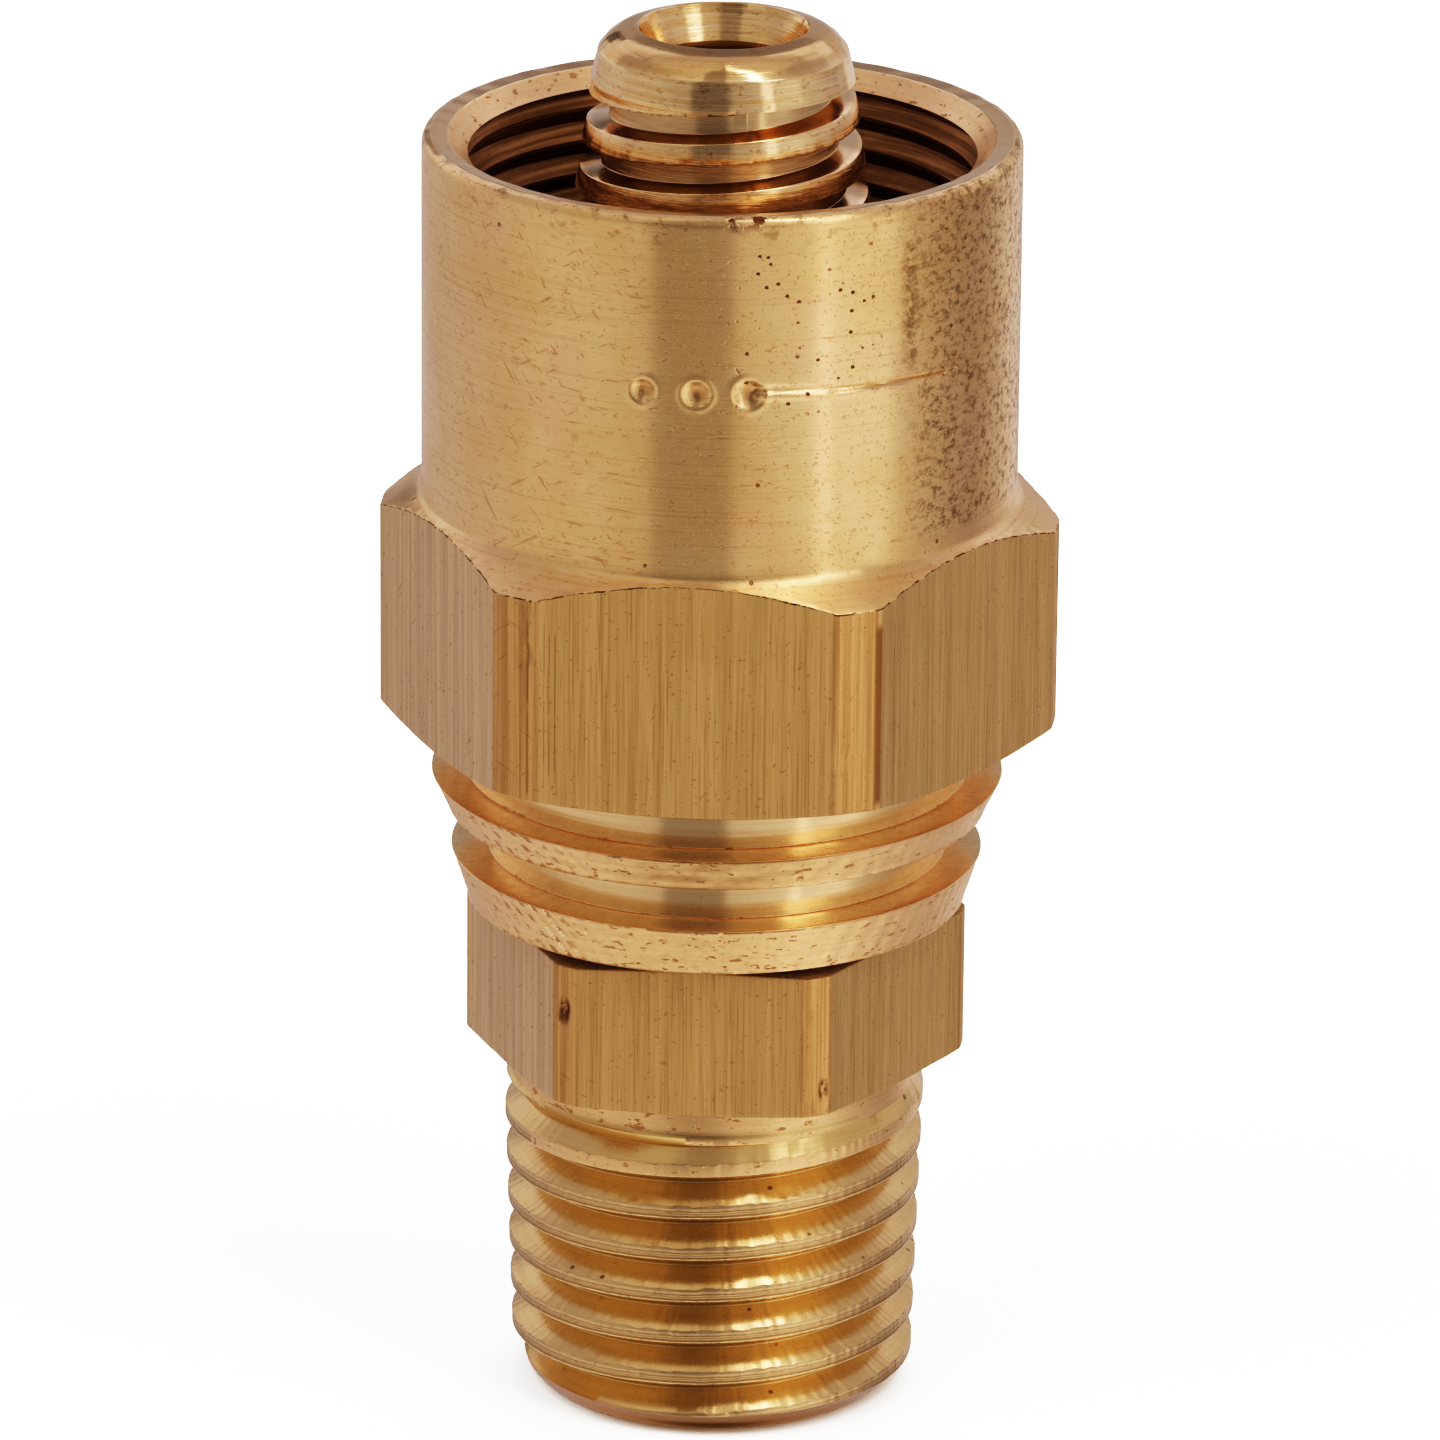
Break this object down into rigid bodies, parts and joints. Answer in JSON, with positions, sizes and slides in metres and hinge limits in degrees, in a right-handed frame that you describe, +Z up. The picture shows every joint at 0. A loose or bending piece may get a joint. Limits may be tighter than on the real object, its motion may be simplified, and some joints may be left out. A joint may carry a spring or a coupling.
{
  "type": "reusable hose end fitting",
  "caption": "Brass two-piece hose end: a hexagonal ferrule with an internally threaded sleeve turns on an insert with a coarse-threaded hose stem, a hexagon and a male taper pipe thread.",
  "frame": {"origin": "centre of the pipe thread's end face, the lowest face, on the axis", "axes": "+Z up the common axis from the pipe thread to the hose end; both hexagons have flats facing -Y and +Y, and corners on -X and +X"},
  "size_m": [0.0212, 0.019, 0.0442],
  "materials": {
    "insert_brass": "machined satin, drawn-bar streaks on the hexagon's flats",
    "ferrule_brass": "fine turned satin, drawn-bar streaks on the hexagon's flats, light scratches and tarnish spots"
  },
  "bodies": {
    "insert": {"insert": "insert_brass"},
    "ferrule": {"ferrule": "ferrule_brass"}
  },
  "joints": [
    {"name": "ferrule_spin", "type": "hinge", "parent": "insert", "child": "ferrule", "pos_m": [0, 0, 0.016], "axis": [0, 0, 1], "continuous": true}
  ]
}
